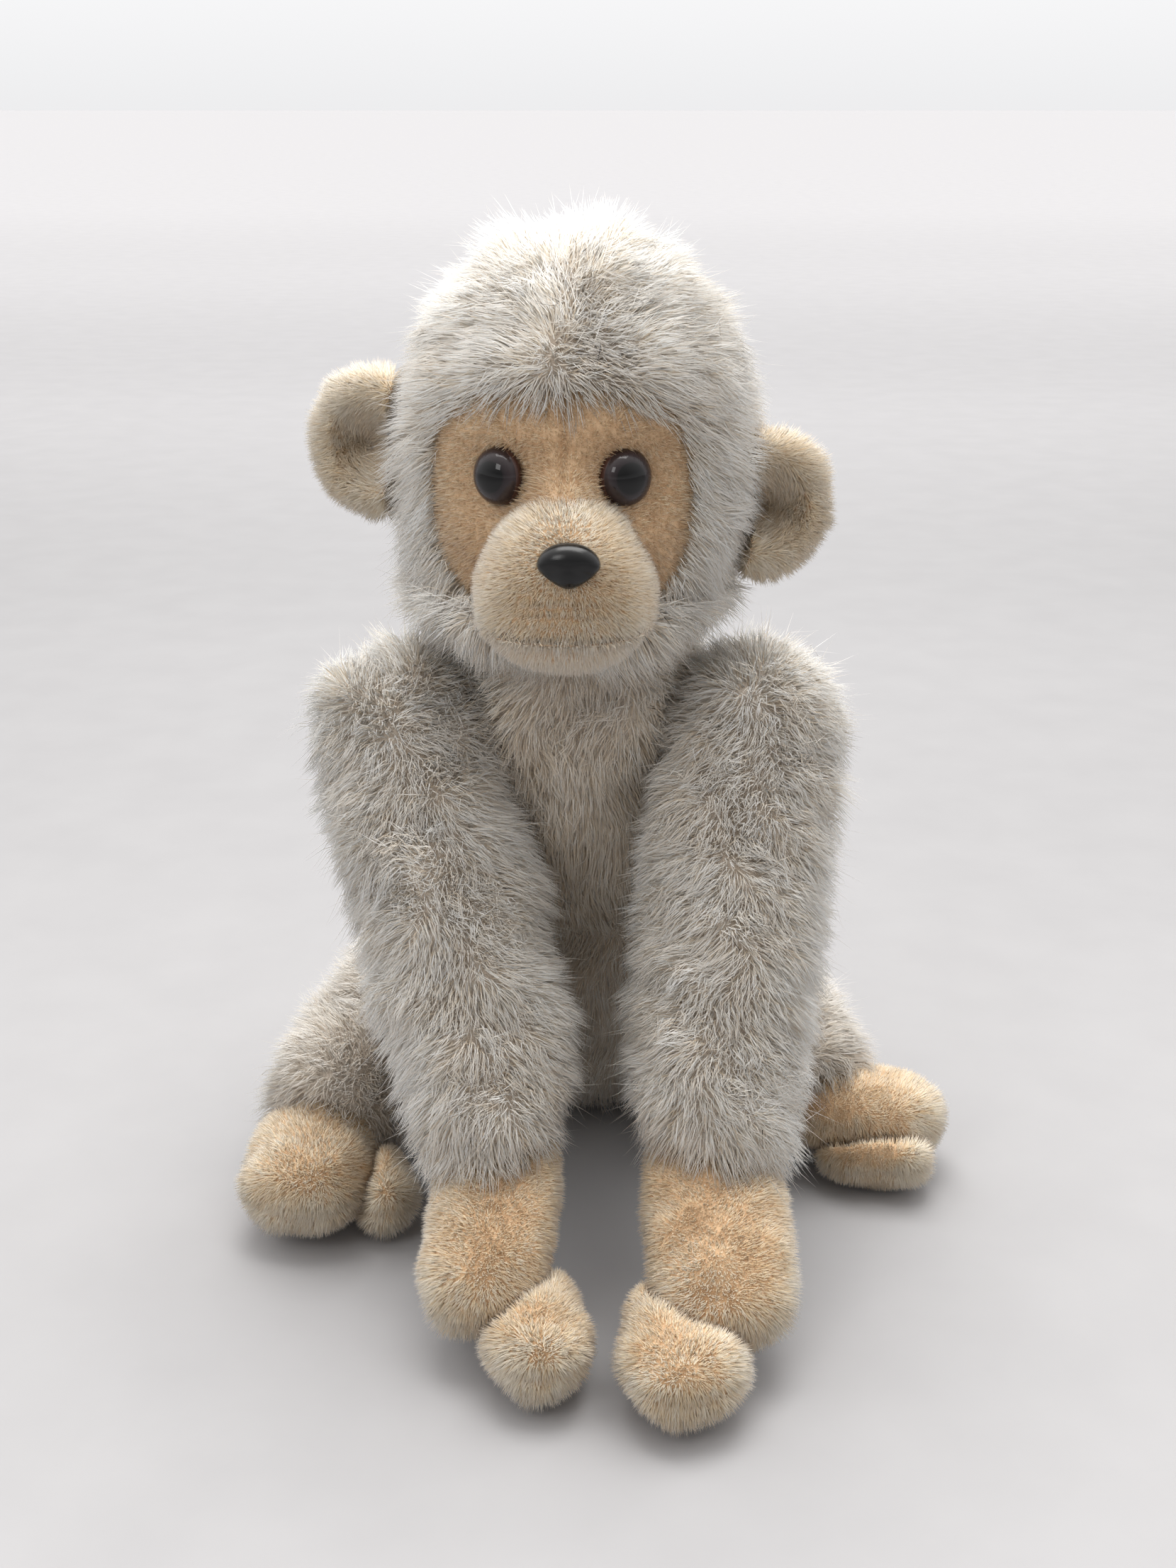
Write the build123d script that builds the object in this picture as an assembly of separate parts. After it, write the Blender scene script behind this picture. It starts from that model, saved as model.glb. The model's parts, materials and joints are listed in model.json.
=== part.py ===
from build123d import *
import math
import os

# Stuffed monkey, sitting and leaning forward on its long arms.
# Millimetres. +Z is up, the face looks along -Y, and +X is the monkey's left.
# The origin is the centre of the flat seat, on the surface it sits on.

# Fabrics: each skin is as thick as its backing and pile together.
FUR = 10.0
PLUSH = 5.0
FILL_GAP = 0.3
SWING_GAP = 1.0
FILL_SWING_GAP = 1.5
SPLIT_REACH = 800.0
SWEEP_STEPS = 2

# Head: a dome turned about a vertical axis, with the cheeks carried low.
HEAD_Y = -55.0
HEAD_BOTTOM = 157.0
HEAD_CHEEK = [(30.0, 160.0), (42.5, 172.0)]
HEAD_WIDEST = 205.0
HEAD_RADIUS = 47.0
HEAD_TOP = 265.0
HEAD_TURN = -3.5

# Face: the short-pile pieces on the front of the head.
FACE_Z = 199.0
FACE_HALF_WIDTH = 30.0
FACE_HALF_HEIGHT = 31.0
MUZZLE_Y = -93.0
MUZZLE_Z = 181.5
MUZZLE_RADIUS = 24.5
CHIN_SEAM_Z = 169.5
CHIN_SEAM_TILT = 0.25

# Eyes and nose: moulded domes on ribbed posts, each held by a push-on washer.
EYE_RADIUS = 7.0
EYE_HEIGHT = 6.0
EYE_SPACING = 30.5
EYE_Z = 206.5
EYE_Y = -92.0
POST_RADIUS = 2.0
POST_LENGTH = 15.0
POST_ROOT = 2.0
WASHER_RADIUS = 7.0
WASHER_THICK = 1.6
NOSE_HALF_WIDTH = 9.5
NOSE_HEIGHT = 14.0
NOSE_DEPTH = 5.5
NOSE_CORNER = 2.8
NOSE_ROUND = 2.3
NOSE_Z = 188.8
NOSE_Y = -114.0

# Ears: round two-piece cups, sewn on at slightly different heights.
EAR_RADIUS = 19.0
EAR_HALF_THICK = 6.5
EAR_Y = -57.0
EAR_CUP_RADIUS = 12.0
EAR_CUP_DEPTH = 5.0
EAR_TURN = 20.0
EARS = {"left": (50.0, 193.0), "right": (-50.5, 209.0)}

# Torso: ellipses from the seat up to the neck, (height, centre y, half width, half depth).
TORSO = [(0.0, 2.0, 30.0, 27.0), (10.0, -1.0, 40.0, 37.0), (30.0, -7.0, 46.0, 43.0),
         (60.0, -17.0, 47.0, 45.0), (90.0, -27.0, 45.0, 43.0), (120.0, -37.0, 43.0, 39.0),
         (145.0, -45.0, 39.0, 35.0), (163.0, -50.0, 31.0, 29.0)]
BACK_SEAM_Y = -12.0

# Arms: shoulder and wrist centres, and the radii at the shoulder and the cuff.
ARM_RADII = (25.5, 23.0)
SHOULDERS = {"left": (46.0, -60.0, 134.0), "right": (-46.0, -60.0, 134.0)}
WRISTS = {"left": (33.0, -118.0, 38.0), "right": (-17.0, -118.0, 38.0)}
CUFF_DOME = 7.0
INNER_ROUND = 2.0
SHOULDER_RANGE = 50.0

# Hands: a mitt that leaves the cuff, and a thumb lobe that lies on the surface.
HAND_HALF_THICK = 12.5
HANDS = {"left": {"root": (33.0, -106.0, 43.0), "tip": (37.0, -164.0, 14.0), "half": 19.0},
         "right": {"root": (-17.0, -106.0, 43.0), "tip": (-25.0, -158.0, 14.0), "half": 17.0}}
THUMBS = {"left": {"root": (29.0, -138.0, 18.0), "tip": (23.5, -184.0, 11.0), "half": 16.0},
          "right": {"root": (-18.0, -134.0, 18.0), "tip": (-4.5, -175.0, 11.0), "half": 13.5}}
THUMB_HALF_THICK = 10.5
WRIST_RANGE = 25.0

# Legs: hip and ankle centres, and the radii at the hip and the cuff.
LEG_RADII = (24.0, 21.5)
HIPS = {"left": (47.0, -8.0, 31.0), "right": (-47.0, -10.0, 34.0)}
ANKLES = {"left": (68.0, -59.0, 22.0), "right": (-72.0, -76.0, 22.0)}
HIP_RANGE = 35.0

# Feet: a sole that leaves the leg's cuff, and a big-toe lobe beside it.
FOOT_HALF_THICK = 13.0
FEET = {"left": {"root": (57.0, -56.0, 21.0), "tip": (105.0, -60.0, 14.0), "half": 15.5},
        "right": {"root": (-71.5, -66.0, 21.0), "tip": (-75.0, -109.0, 14.0), "half": 18.0}}
TOES = {"left": {"root": (66.0, -66.0, 11.0), "tip": (100.0, -76.0, 10.5), "half": 9.0},
        "right": {"root": (-60.0, -72.0, 12.0), "tip": (-50.0, -103.0, 10.5), "half": 10.0}}
TOE_HALF_THICK = 10.0
FOOT_RANGE = 20.0

SIDES = ("left", "right")
POD_STATIONS = 7
POD_ROUND = 3.0
POD_END = 0.03


def save(shape, name):
    """Writes one piece of the toy."""
    export_step(shape, f"parts/{name}.step")


def head_outline(inset):
    """The dome's outline behind its axis, from the bottom to the top, drawn in by inset."""
    drop = HEAD_WIDEST - HEAD_BOTTOM
    shrink = (drop - inset) / drop
    bottom = (0, 0, HEAD_WIDEST - drop + inset)
    cheek = [(0, r - inset, HEAD_WIDEST + (z - HEAD_WIDEST) * shrink) for r, z in HEAD_CHEEK]
    widest = (0, HEAD_RADIUS - inset, HEAD_WIDEST)
    lower = Spline([bottom] + cheek + [widest], tangents=[(0, 1, 0), (0, 0, 1)])
    upright = Plane(origin=(0, 0, HEAD_WIDEST), x_dir=(0, 0, 1), z_dir=(-1, 0, 0))
    rise = HEAD_TOP - HEAD_WIDEST
    dome = EllipticalCenterArc((0, 0, 0), rise - inset, HEAD_RADIUS - inset, 0, arc_size=90)
    return [lower, upright * dome]


def head_form(inset):
    """The head's dome, drawn in by inset all round."""
    lower, dome = head_outline(inset)
    face = make_face([lower, dome, Line(dome @ 0, lower @ 0)])
    return Pos(0, HEAD_Y, 0) * revolve(face, Axis.Z)


def head_shell(side, outer_inset, inner_inset):
    """One side of a shell of the dome, split down the middle seam."""
    outer = head_outline(outer_inset)
    inner = head_outline(inner_inset)
    ends = [Line(outer[0] @ 0, inner[0] @ 0), Line(outer[1] @ 0, inner[1] @ 0)]
    half = revolve(make_face(outer + inner + ends), Axis.Z, 180)
    turn = 180 if side == "left" else 0
    return Pos(0, HEAD_Y, 0) * Rot(0, 0, turn) * half


def spheroid(radius, half_height):
    """A ball squeezed along Z, centred on the origin."""
    outline = EllipticalCenterArc((0, 0, 0), radius, half_height, -90, arc_size=180)
    face = make_face([outline, Line((0, half_height, 0), (0, -half_height, 0))])
    return Rot(90, 0, 0) * revolve(face, Axis.Y)


def capsule(radii, length, inset):
    """A limb along +Z: a round root about the origin, a tapered barrel and a rounded cuff."""
    root, cuff = [radius - inset for radius in radii]
    end = length + CUFF_DOME - inset
    corner = max(CUFF_DOME - inset, INNER_ROUND)
    shoulder = CenterArc((0, 0, 0), root, -90, 90)
    barrel = Line((root, 0, 0), (cuff, end - corner, 0))
    bend = CenterArc((cuff - corner, end - corner, 0), corner, 0, 90)
    flat = Line((cuff - corner, end, 0), (0, end, 0))
    face = make_face([shoulder, barrel, bend, flat, Line((0, end, 0), (0, -root, 0))])
    return Rot(90, 0, 0) * revolve(face, Axis.Y)


def along(start, end):
    """A plane at start whose Z points to end and whose X stays level."""
    direction = Vector(*end) - Vector(*start)
    level = Vector(0, 0, 1).cross(direction)
    return Plane(origin=start, x_dir=level, z_dir=direction)


def limb(start, end, radii, inset):
    """A capsule from start to end."""
    length = (Vector(*end) - Vector(*start)).length
    return along(start, end) * capsule(radii, length, inset)


def pod(start, end, half_width, half_thick, inset):
    """A padded lobe from start to end: ellipses that close towards both ends."""
    plane = along(start, end)
    length = (Vector(*end) - Vector(*start)).length
    sections = []
    for index in range(POD_STATIONS):
        along_pod = -math.cos(math.pi * index / (POD_STATIONS - 1))
        reach = along_pod * (1 - POD_END)
        bulge = (1 - abs(reach) ** POD_ROUND) ** (1 / POD_ROUND)
        height = length / 2 + reach * (length / 2 - inset)
        wide = (half_width - inset) * bulge
        thick = (half_thick - inset) * bulge
        sections.append(plane * Pos(0, 0, height) * Ellipse(wide, thick))
    return loft(sections)


def torso_form(inset):
    """The torso's rounded body, drawn in by inset all round."""
    top = TORSO[-1][0]
    sections = []
    for height, y, half_width, half_depth in TORSO:
        level = inset + height * (top - 2 * inset) / top
        sections.append(Pos(0, y, level) * Ellipse(half_width - inset, half_depth - inset))
    return loft(sections)


def half_space(origin, direction):
    """A large block that fills the side of a plane that direction points to."""
    block = Box(SPLIT_REACH, SPLIT_REACH, SPLIT_REACH, align=(Align.CENTER, Align.CENTER, Align.MIN))
    return Plane(origin=origin, z_dir=direction) * block


def barrel_room(start, end, radii, gap):
    """The straight space that a limb's barrel takes, with a gap round it."""
    length = (Vector(*end) - Vector(*start)).length + CUFF_DOME
    bottom = (Align.CENTER, Align.CENTER, Align.MIN)
    return along(start, end) * Cylinder(radii[0] + gap, length, align=bottom)


def lobe_room(sizes, half_thick, gap):
    """The straight box that a mitt, thumb, sole or toe fits in, with a gap round it."""
    length = (Vector(*sizes["tip"]) - Vector(*sizes["root"])).length
    section = Rectangle(2 * (sizes["half"] + gap), 2 * (half_thick + gap))
    return along(sizes["root"], sizes["tip"]) * extrude(Pos(0, 0, -gap) * section, length + 2 * gap)


def swept_out(solid, mover, joint):
    """The solid with room cut in it for the mover over its whole travel."""
    pivot, direction, travel = joint
    axis = Axis(pivot, direction)
    for step in range(SWEEP_STEPS + 1):
        solid = solid - mover.rotate(axis, travel * step / SWEEP_STEPS)
    return solid


# Head, built facing straight ahead and then turned a little to its right.

window_ellipse = Plane.XZ * Pos(0, FACE_Z) * Ellipse(FACE_HALF_WIDTH, FACE_HALF_HEIGHT)
window = Pos(0, HEAD_Y, 0) * extrude(window_ellipse, SPLIT_REACH / 2)
head_outer = head_form(0)
face_outer = head_form(FUR - PLUSH)


def muzzle_form(inset):
    """The muzzle's round bulge, drawn in by inset all round."""
    return Pos(0, MUZZLE_Y, MUZZLE_Z) * Sphere(MUZZLE_RADIUS - inset)


def rod(radius, place, length):
    """A round bar that runs back from place, along +Y."""
    cylinder = Cylinder(radius, length, align=(Align.CENTER, Align.CENTER, Align.MIN))
    return Pos(*place) * Rot(-90, 0, 0) * cylinder


def washer(x, y, z):
    """A push-on washer that grips a post."""
    return rod(WASHER_RADIUS, (x, y, z), WASHER_THICK) - rod(POST_RADIUS, (x, y, z), WASHER_THICK)


def eye(x):
    """A domed eye on its post."""
    ball_radius = (EYE_RADIUS ** 2 + EYE_HEIGHT ** 2) / (2 * EYE_HEIGHT)
    ball = Pos(x, EYE_Y - EYE_HEIGHT + ball_radius, EYE_Z) * Sphere(ball_radius)
    dome = ball & half_space((x, EYE_Y, EYE_Z), (0, -1, 0))
    return dome + rod(POST_RADIUS, (x, EYE_Y - POST_ROOT, EYE_Z), POST_LENGTH + POST_ROOT)


def nose_form():
    """A rounded triangular nose, broad above, with its post."""
    tip = (0, -NOSE_HEIGHT / 2)
    left = (-NOSE_HALF_WIDTH, NOSE_HEIGHT / 2)
    right = (NOSE_HALF_WIDTH, NOSE_HEIGHT / 2)
    outline = make_face(Polyline(tip, right, left, tip))
    outline = fillet(outline.vertices(), NOSE_CORNER)
    plane = Plane(origin=(0, NOSE_Y, NOSE_Z), x_dir=(1, 0, 0), z_dir=(0, -1, 0))
    block = extrude(plane * outline, NOSE_DEPTH)
    front = block.faces().sort_by(Axis.Y)[0]
    block = fillet(front.edges(), NOSE_ROUND)
    return block + rod(POST_RADIUS, (0, NOSE_Y, NOSE_Z), POST_LENGTH)


def ear_form(side):
    """One ear's front and back pieces, meeting in a seam round the rim."""
    x, z = EARS[side]
    turn = EAR_TURN if side == "left" else -EAR_TURN
    place = Pos(x, EAR_Y, z) * Rot(0, 0, turn) * Rot(90, 0, 0)
    disc = spheroid(EAR_RADIUS, EAR_HALF_THICK)
    cup = Pos(0, 0, EAR_HALF_THICK) * spheroid(EAR_CUP_RADIUS, EAR_CUP_DEPTH)
    front = (disc - cup) & half_space((0, 0, 0), (0, 0, 1))
    back = disc & half_space((0, 0, 0), (0, 0, -1))
    return place * front - head_outer, place * back - head_outer


eye_x = EYE_SPACING / 2
grip_y = POST_LENGTH - 2 * WASHER_THICK
nose = nose_form()
nose_washer = washer(0, NOSE_Y + grip_y, NOSE_Z)
eyes = {"left": eye(eye_x), "right": eye(-eye_x)}
eye_washers = {"left": washer(eye_x, EYE_Y + grip_y, EYE_Z),
               "right": washer(-eye_x, EYE_Y + grip_y, EYE_Z)}
hardware = [nose, nose_washer, *eyes.values(), *eye_washers.values()]
muzzle_outer = muzzle_form(0)


def clear_of_hardware(solid):
    """The solid with the eyes, nose and washers let into it."""
    for piece in hardware:
        solid = solid - piece
    return solid


head_pieces = {}
for side in SIDES:
    hood = head_shell(side, 0, FUR) - window - muzzle_outer
    face = head_shell(side, FUR - PLUSH, FUR) & window
    ear_front, ear_back = ear_form(side)
    head_pieces[f"hood_{side}"] = hood
    head_pieces[f"face_{side}"] = clear_of_hardware(face)
    head_pieces[f"ear_front_{side}"] = ear_front
    head_pieces[f"ear_back_{side}"] = ear_back
    head_pieces[f"eye_{side}"] = eyes[side]
    head_pieces[f"eye_washer_{side}"] = eye_washers[side]

muzzle = clear_of_hardware(muzzle_outer - muzzle_form(PLUSH) - face_outer)
chin_seam = (0, MUZZLE_Y, CHIN_SEAM_Z)
head_pieces["muzzle"] = muzzle & half_space(chin_seam, (0, CHIN_SEAM_TILT, 1))
head_pieces["chin"] = muzzle & half_space(chin_seam, (0, -CHIN_SEAM_TILT, -1))
head_pieces["muzzle_fill"] = clear_of_hardware(muzzle_form(PLUSH + FILL_GAP) - face_outer)
head_pieces["head_fill"] = clear_of_hardware(head_form(FUR + FILL_GAP))
head_pieces["nose"] = nose
head_pieces["nose_washer"] = nose_washer

head_axis = Axis((0, HEAD_Y, 0), (0, 0, 1))
for name, piece in head_pieces.items():
    save(piece.rotate(head_axis, HEAD_TURN), name)


# Limbs, each with room left in its neighbours for the way it swings.

FOOT_AXES = {"left": (0, -1, 0), "right": (-1, 0, 0)}
HIP_AXES = {"left": (0, 0, 1), "right": (0, 0, -1)}
RAISE = (-1, 0, 0)


def lobe(sizes, half_thick, inset):
    """One mitt, thumb, sole or toe."""
    return pod(sizes["root"], sizes["tip"], sizes["half"], half_thick, inset)


def extremity(skin, fill, sizes, thicks, joint):
    """The limb with room for its hand or foot, and the hand or foot in its sewn pieces."""
    main, second = sizes
    for part_sizes, half_thick in zip(sizes, thicks):
        skin = swept_out(skin, lobe_room(part_sizes, half_thick, SWING_GAP), joint)
        fill = swept_out(fill, lobe_room(part_sizes, half_thick, FILL_SWING_GAP), joint)
    outer = lobe(main, thicks[0], 0)
    shell = outer - lobe(main, thicks[0], PLUSH)
    seam = along(main["root"], main["tip"])
    upward = seam.z_dir.cross(seam.x_dir)
    top = shell & half_space(main["root"], upward)
    under = shell & half_space(main["root"], upward * -1)
    stuffing = lobe(main, thicks[0], PLUSH + FILL_GAP)
    pad = lobe(second, thicks[1], 0) - outer
    return skin, fill, top, under, stuffing, pad


def with_socket(solid, start, end, radii, gap, joint):
    """The torso solid with a limb's socket cut in it."""
    solid = solid - Pos(*start) * Sphere(radii[0] + gap)
    return swept_out(solid, barrel_room(start, end, radii, gap), joint)


torso_outer = torso_form(0) - head_form(-SWING_GAP)
torso_inner = torso_form(FUR) - head_form(-FUR)
torso_fill = torso_form(FUR + FILL_GAP) - head_form(-FUR - FILL_GAP)

for side in SIDES:
    for name, start, end, radii, direction, travel in (
            ("arm", SHOULDERS[side], WRISTS[side], ARM_RADII, RAISE, SHOULDER_RANGE),
            ("leg", HIPS[side], ANKLES[side], LEG_RADII, HIP_AXES[side], HIP_RANGE)):
        joint = (start, direction, travel)
        torso_outer = with_socket(torso_outer, start, end, radii, SWING_GAP, joint)
        torso_inner = with_socket(torso_inner, start, end, radii, FUR, joint)
        torso_fill = with_socket(torso_fill, start, end, radii, FUR + FILL_GAP, joint)

        skin = limb(start, end, radii, 0) - limb(start, end, radii, FUR)
        fill = limb(start, end, radii, FUR + FILL_GAP)
        if name == "arm":
            sizes = (HANDS[side], THUMBS[side])
            thicks = (HAND_HALF_THICK, THUMB_HALF_THICK)
            joint = (end, RAISE, WRIST_RANGE)
            names = ("hand_back", "hand_palm", "hand_fill", "thumb")
        else:
            sizes = (FEET[side], TOES[side])
            thicks = (FOOT_HALF_THICK, TOE_HALF_THICK)
            joint = (end, FOOT_AXES[side], FOOT_RANGE)
            names = ("foot_top", "foot_sole", "foot_fill", "big_toe")
        pieces = extremity(skin, fill, sizes, thicks, joint)
        save(pieces[0], f"{name}_{side}")
        save(pieces[1], f"{name}_fill_{side}")
        for piece, piece_name in zip(pieces[2:], names):
            save(piece, f"{piece_name}_{side}")


# Torso.

torso_skin = torso_outer - torso_inner
back_half = half_space((0, BACK_SEAM_Y, 0), (0, 1, 0.2))
front_half = half_space((0, BACK_SEAM_Y, 0), (0, -1, -0.2))
torso_back = torso_skin & back_half
save(torso_skin & front_half, "torso_front")
save(torso_back & half_space((0, 0, 0), (1, 0, 0)), "torso_back_left")
save(torso_back & half_space((0, 0, 0), (-1, 0, 0)), "torso_back_right")
save(torso_fill, "torso_fill")
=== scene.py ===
import json
import math

import bpy
import numpy as np
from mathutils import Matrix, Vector
from mathutils.kdtree import KDTree


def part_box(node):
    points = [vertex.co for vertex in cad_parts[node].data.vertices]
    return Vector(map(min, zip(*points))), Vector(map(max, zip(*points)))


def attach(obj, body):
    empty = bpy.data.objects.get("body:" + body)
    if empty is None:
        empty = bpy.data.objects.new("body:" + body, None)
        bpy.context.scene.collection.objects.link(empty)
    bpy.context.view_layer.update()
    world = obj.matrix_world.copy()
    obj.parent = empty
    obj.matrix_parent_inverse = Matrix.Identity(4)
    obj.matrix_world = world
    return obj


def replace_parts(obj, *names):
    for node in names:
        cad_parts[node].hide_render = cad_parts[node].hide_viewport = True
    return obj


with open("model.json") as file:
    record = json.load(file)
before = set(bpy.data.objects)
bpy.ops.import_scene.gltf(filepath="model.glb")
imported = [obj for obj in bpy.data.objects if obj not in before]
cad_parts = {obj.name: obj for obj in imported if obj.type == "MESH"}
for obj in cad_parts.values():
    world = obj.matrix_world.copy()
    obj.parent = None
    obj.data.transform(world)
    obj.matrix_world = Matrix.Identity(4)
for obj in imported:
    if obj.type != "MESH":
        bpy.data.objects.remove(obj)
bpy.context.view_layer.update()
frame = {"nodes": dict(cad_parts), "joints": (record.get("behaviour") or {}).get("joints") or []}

# A seated plush monkey. Sizes are in metres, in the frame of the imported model:
# +Z up, the face looks along -Y, and +X is the monkey's left.

MM = 0.001
SIDES = ("left", "right")
joints = {joint["name"]: joint for joint in frame["joints"]}

LONG_SINK = 6.0 * MM      # how far the long pile's backing lies under the toy's outline
SHORT_SINK = 2.4 * MM     # the same for the short plush
AROUND, AROUND_SMALL = 96, 72            # points round the larger and the smaller skins
STRANDS_IN_PIECE = 19000
UNDER_SHARE, STRAY_SHARE = 0.8, 0.07     # undercoat and stray fibres for each long fibre
FLOOR_GAP = 0.3 * MM
CLOTH_FRAMES = 20
MOST_SWELL = 1.5 * MM

HEAD_TURN = math.radians(-3.5)

HEAD_TOP = 265 * MM
HEAD_WIDEST = 205 * MM
HEAD_BOTTOM = 157 * MM
HEAD_RADIUS = 47 * MM
HEAD_CHEEKS = ((157, 0), (160, 30), (172, 42.5), (188, 46.2), (205, 47))   # heights and radii, in mm
FACE_Z = 199 * MM
FACE_X = -1.8 * MM
FACE_HALF_WIDTH = 30 * MM
FACE_HALF_HEIGHT = 31 * MM
BROW_RISE = 26.5 * MM     # the face's upper edge above its centre
WHORL = np.array((-6, -90, 240)) * MM
MUZZLE_CENTRE = np.array((0, -93, 181.5)) * MM
MUZZLE_RADIUS = 24.5 * MM
MUZZLE_POWER = 2.35       # 2 would be a ball, and more is boxier
CHIN_SEAM_Z = 171.5 * MM

EYE_RADIUS, EYE_HEIGHT = 6.9 * MM, 4.8 * MM
EYE_RIM_DEPTH = 6 * MM    # how far an eye's rim lies behind the front of the CAD eye
NOSE_Y = -114 * MM

# the crooked sewing: how far some pieces sit from their places in the CAD
LEFT_EAR_SHIFT = np.array((-3, 0, 1.5)) * MM
EYE_SHIFT = np.array((-1, 0, 1)) * MM
NOSE_SHIFT = np.array((2.3, 0, 1.2)) * MM

# height, centre, half width and half depth of the torso's sections, in mm
TORSO = ((0, 2, 30, 27), (10, -1, 40, 37), (30, -7, 46, 43), (60, -17, 47, 45),
         (90, -27, 45, 43), (120, -37, 43, 39), (145, -45, 39, 35), (163, -50, 31, 29))
ARM_RADII = (25.5 * MM, 23 * MM)
LEG_RADII = (24 * MM, 21.5 * MM)
ARM_CUFF_SLANT = 9 * MM   # how far an arm's cuff reaches past its middle on its outer side

CAMERA_PLACE = Vector((0.0028, -0.5395, 0.2927))
CAMERA_TARGET = Vector((0.003, -0.065, 0.120))
FIELD_OF_VIEW = math.radians(45)
SENSOR_WIDTH = 36


def pivot(name):
    """A joint's place at rest."""
    return np.array(joints[name]["pos_m"])


head_axis = pivot("head_turn")
head_spin = np.array(((math.cos(HEAD_TURN), -math.sin(HEAD_TURN), 0),
                      (math.sin(HEAD_TURN), math.cos(HEAD_TURN), 0), (0, 0, 1)))


# ---------------------------------------------------------------- small tools

def unit(vectors):
    """Each row scaled to length 1."""
    vectors = np.asarray(vectors, float)
    return vectors / np.maximum(np.linalg.norm(vectors, axis=-1, keepdims=True), 1e-12)


def ripple(points, wavelength, seed):
    """A smooth random field, mostly between -1 and 1, with bumps about a wavelength apart."""
    rng = np.random.default_rng(seed)
    waves = unit(rng.normal(size=(7, 3))) * (2 * math.pi / wavelength) * rng.uniform(0.6, 1.5, (7, 1))
    phases = rng.uniform(0, 2 * math.pi, 7)
    return np.sin(points @ waves.T + phases).sum(axis=1) / 3


def wander(points, wavelength, seed):
    """A smooth random direction field."""
    return np.stack([ripple(points, wavelength, seed + k) for k in range(3)], axis=1)


def full_turn(count):
    """Angles spread evenly over one turn."""
    return np.linspace(0, 2 * math.pi, count + 1)[:-1]


def hump(distance, width):
    """1 at no distance, fading to 0 over about a width."""
    return np.exp(-(distance / width) ** 2)


def smooth_curve(xs, ys, x):
    """A smooth curve through a few named values."""
    xs, ys = np.array(xs, float), np.array(ys, float)
    slopes = np.gradient(ys, xs)
    place = np.clip(np.searchsorted(xs, x) - 1, 0, len(xs) - 2)
    span = xs[place + 1] - xs[place]
    t = np.clip((x - xs[place]) / span, 0, 1)
    level = ys[place] * (1 + 2 * t) * (1 - t) ** 2 + ys[place + 1] * t ** 2 * (3 - 2 * t)
    return level + span * (slopes[place] * t * (1 - t) ** 2 + slopes[place + 1] * t ** 2 * (t - 1))


def make_mesh(name, points, faces):
    """A new smooth-shaded object from points and faces."""
    points = np.asarray(points)
    corners = np.array([points[list(face[:3])] for face in faces])
    inside_out = np.einsum("ij,ij->i", corners[:, 0], np.cross(corners[:, 1], corners[:, 2])).sum() < 0
    mesh = bpy.data.meshes.new(name)
    mesh.from_pydata(points.tolist(), [], [face[::-1] if inside_out else face for face in faces])
    mesh.update()
    mesh.polygons.foreach_set("use_smooth", [True] * len(mesh.polygons))
    obj = bpy.data.objects.new(name, mesh)
    bpy.context.scene.collection.objects.link(obj)
    return obj


def coordinates(obj):
    """An object's points as rows."""
    flat = np.empty(len(obj.data.vertices) * 3)
    obj.data.vertices.foreach_get("co", flat)
    return flat.reshape(-1, 3)


def set_coordinates(obj, points):
    """Moves an object's points."""
    obj.data.vertices.foreach_set("co", np.ascontiguousarray(points).ravel())
    obj.data.update()


def normals_of(obj):
    """An object's point normals as rows."""
    flat = np.empty(len(obj.data.vertices) * 3)
    obj.data.vertex_normals.foreach_get("vector", flat)
    return flat.reshape(-1, 3)


def closed_rings(name, rings):
    """A closed skin over rings of equal length, with a point at each end."""
    rings = np.asarray(rings)
    count, around = rings.shape[:2]
    points = [rings[0].mean(axis=0)] + list(rings.reshape(-1, 3)) + [rings[-1].mean(axis=0)]
    last = len(points) - 1
    faces = []
    for k in range(around):
        after = (k + 1) % around
        faces.append((0, 1 + after, 1 + k))
        for r in range(count - 1):
            low, high = 1 + r * around, 1 + (r + 1) * around
            faces.append((low + k, low + after, high + after, high + k))
        top = 1 + (count - 1) * around
        faces.append((top + k, top + after, last))
    return make_mesh(name, points, faces)


def apply_modifiers(obj):
    """Replaces an object's mesh by what its modifiers make of it."""
    graph = bpy.context.evaluated_depsgraph_get()
    made = bpy.data.meshes.new_from_object(obj.evaluated_get(graph))
    obj.modifiers.clear()
    old = obj.data
    obj.data = made
    bpy.data.meshes.remove(old)
    obj.data.polygons.foreach_set("use_smooth", [True] * len(obj.data.polygons))


def subdivide(obj):
    """One level of subdivision, applied."""
    obj.modifiers.new("subdivide", "SUBSURF").levels = 1
    apply_modifiers(obj)


def remeshed(name, nodes, voxel):
    """One closed skin round some CAD nodes, made of even squares."""
    points, faces = [], []
    for node in nodes:
        mesh = frame["nodes"][node].data
        start = len(points)
        points += [tuple(vertex.co) for vertex in mesh.vertices]
        faces += [tuple(start + i for i in polygon.vertices) for polygon in mesh.polygons]
    obj = make_mesh(name, points, faces)
    remesh = obj.modifiers.new("remesh", "REMESH")
    remesh.mode = "VOXEL"
    remesh.voxel_size = voxel
    apply_modifiers(obj)
    return obj


def relax(obj, rounds):
    """Evens a skin by moving each point towards its neighbours."""
    edges = np.empty(len(obj.data.edges) * 2, int)
    obj.data.edges.foreach_get("vertices", edges)
    edges = edges.reshape(-1, 2)
    points = coordinates(obj)
    count = np.bincount(edges.ravel(), minlength=len(points))[:, None]
    for _ in range(rounds):
        total = np.zeros_like(points)
        np.add.at(total, edges[:, 0], points[edges[:, 1]])
        np.add.at(total, edges[:, 1], points[edges[:, 0]])
        points = 0.5 * points + 0.5 * total / np.maximum(count, 1)
    set_coordinates(obj, points)


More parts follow.
